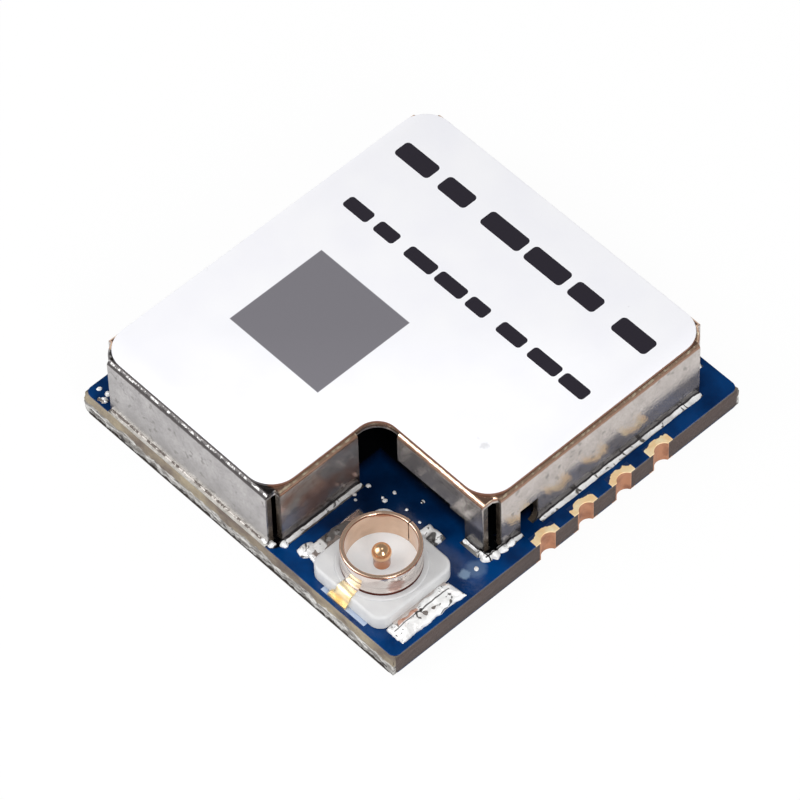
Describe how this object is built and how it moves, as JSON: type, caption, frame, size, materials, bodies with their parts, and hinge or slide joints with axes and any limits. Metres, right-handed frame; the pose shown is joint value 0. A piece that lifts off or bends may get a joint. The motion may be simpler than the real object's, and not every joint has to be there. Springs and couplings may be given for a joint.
{
  "type": "lora module",
  "caption": "Small radio module: notched metal shield can with a blank label and a coaxial receptacle on a blue board with plated half-hole edge pads.",
  "frame": {"origin": "centre of the board's underside, which is the middle of the part's lowest plane", "axes": "+Z away from the board it is soldered to, +X along the label's reading direction, +Y towards the label's top; the coaxial receptacle is at the corner +X, -Y"},
  "size_m": [0.011, 0.0116, 0.0027],
  "materials": {
    "laminate": "matte, sawn edge",
    "solder_mask": "glossy deep blue",
    "pad_gold": "gold plated, satin",
    "track_tin": "tinned, bright",
    "can_sheet": "satin rolled sheet",
    "label_film": "matte white",
    "solder": "bright solder",
    "moulding": "white moulded plastic",
    "contact_gold": "gold plated, polished",
    "chip_moulding": "matte black",
    "terminal_tin": "matte tin",
    "ceramic_light": "matte ceramic",
    "ceramic_dark": "matte ferrite",
    "lid_metal": "satin plated"
  },
  "bodies": {
    "root": {"circuit_board": "laminate", "solder_mask_top": "solder_mask", "solder_mask_bottom": "solder_mask", "shield_track": "track_tin", "connector_lands": "pad_gold", "inner_lands": "pad_gold", "shield_can": "can_sheet", "label": "label_film", "connector_ring": "contact_gold", "connector_pin": "contact_gold", "connector_body": "moulding", "radio_chip": "chip_moulding", "radio_chip_terminals": "terminal_tin", "clock_base": "ceramic_dark", "clock_lid": "lid_metal", "antenna_switch": "chip_moulding", "antenna_switch_terminals": "terminal_tin", "choke": "ceramic_dark", "choke_ends": "terminal_tin", "shield_solder_front": "solder", "shield_solder_back": "solder", "shield_solder_left": "solder", "shield_solder_right": "solder", "shield_solder_notch_side": "solder", "shield_solder_notch_end": "solder", "connector_solder_left": "solder", "connector_solder_right": "solder", "connector_solder_signal": "solder", "edge_pad_01": "pad_gold", "edge_pad_02": "pad_gold", "edge_pad_03": "pad_gold", "edge_pad_04": "pad_gold", "edge_pad_05": "pad_gold", "edge_pad_06": "pad_gold", "edge_pad_07": "pad_gold", "edge_pad_08": "pad_gold", "edge_pad_09": "pad_gold", "edge_pad_10": "pad_gold", "edge_pad_11": "pad_gold", "edge_pad_12": "pad_gold", "capacitor_1": "ceramic_light", "capacitor_1_ends": "terminal_tin", "capacitor_2": "ceramic_light", "capacitor_2_ends": "terminal_tin", "capacitor_3": "ceramic_light", "capacitor_3_ends": "terminal_tin", "capacitor_4": "ceramic_light", "capacitor_4_ends": "terminal_tin", "capacitor_5": "ceramic_light", "capacitor_5_ends": "terminal_tin", "coil_1": "ceramic_dark", "coil_1_ends": "terminal_tin", "coil_2": "ceramic_dark", "coil_2_ends": "terminal_tin", "coil_3": "ceramic_dark", "coil_3_ends": "terminal_tin"}
  },
  "joints": []
}
